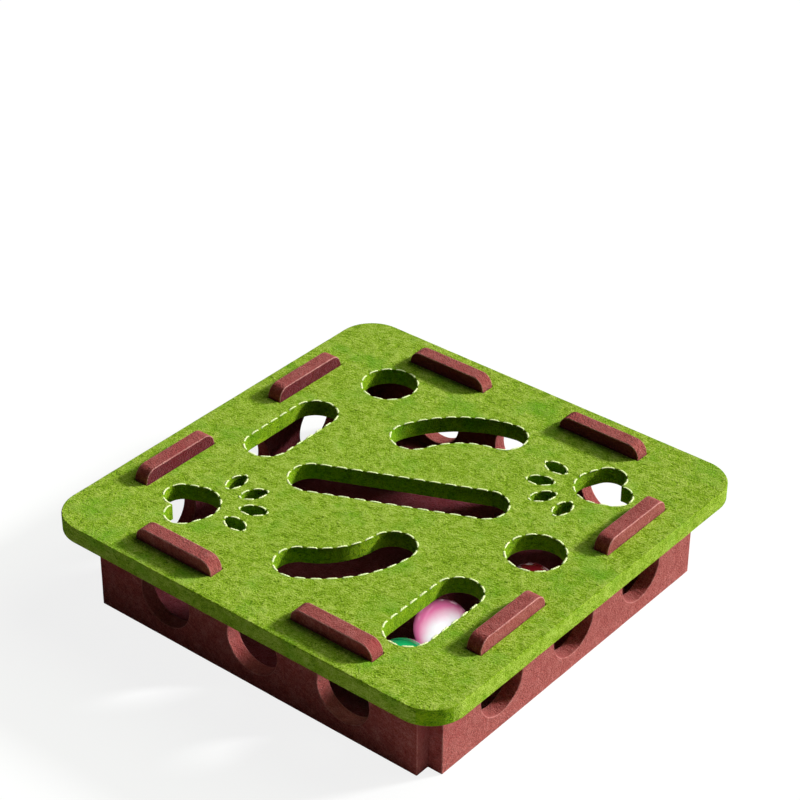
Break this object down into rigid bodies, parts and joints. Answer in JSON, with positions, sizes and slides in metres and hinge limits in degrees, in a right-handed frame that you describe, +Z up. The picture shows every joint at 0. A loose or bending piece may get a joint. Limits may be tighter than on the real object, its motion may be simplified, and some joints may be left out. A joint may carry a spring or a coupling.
{
  "type": "cat track ball toy",
  "caption": "Low square felt box with a lift-off felt lid; slots, round and paw-shaped openings in the lid and holes in the walls let a cat bat the balls inside.",
  "frame": {"origin": "on the ground, under the middle of the square lid", "axes": "+Z up through the lid; +X along the front wall, towards the right wall; +Y from the front wall to the back wall"},
  "size_m": [0.3, 0.3, 0.0735],
  "materials": {
    "green_felt": "matt pressed felt",
    "red_felt": "matt pressed felt",
    "white_thread": "twisted thread",
    "pink_plastic": "glossy",
    "green_plastic": "glossy",
    "red_plastic": "glossy"
  },
  "bodies": {
    "base": {"floor_panel": "red_felt", "front_wall": "red_felt", "right_wall": "red_felt", "back_wall": "red_felt", "left_wall": "red_felt"},
    "lid": {"lid_panel": "green_felt", "back_hole_stitching": "white_thread", "right_hole_stitching": "white_thread", "left_slot_stitching": "white_thread", "right_slot_stitching": "white_thread", "long_slot_stitching": "white_thread", "back_curve_stitching": "white_thread", "front_curve_stitching": "white_thread", "back_palm_stitching": "white_thread", "front_palm_stitching": "white_thread", "back_toe_1_stitching": "white_thread", "back_toe_2_stitching": "white_thread", "back_toe_3_stitching": "white_thread", "back_toe_4_stitching": "white_thread", "front_toe_1_stitching": "white_thread", "front_toe_2_stitching": "white_thread", "front_toe_3_stitching": "white_thread", "front_toe_4_stitching": "white_thread"},
    "pink_ball": {"pink_ball": "pink_plastic"},
    "green_ball": {"green_ball": "green_plastic"},
    "red_ball": {"red_ball": "red_plastic"}
  },
  "joints": [
    {"name": "lid_lift", "type": "slide", "parent": "base", "child": "lid", "axis": [0, 0, 1], "range_m": [0, 0.12]},
    {"name": "pink_ball_roll", "type": "slide", "parent": "base", "child": "pink_ball", "axis": [1, 0, 0], "range_m": [-0.1735, 0.0375]},
    {"name": "green_ball_roll", "type": "slide", "parent": "base", "child": "green_ball", "axis": [1, 0, 0], "range_m": [-0.1785, 0.0325]},
    {"name": "red_ball_roll", "type": "slide", "parent": "base", "child": "red_ball", "axis": [1, 0, 0], "range_m": [-0.1925, 0.0185]}
  ]
}
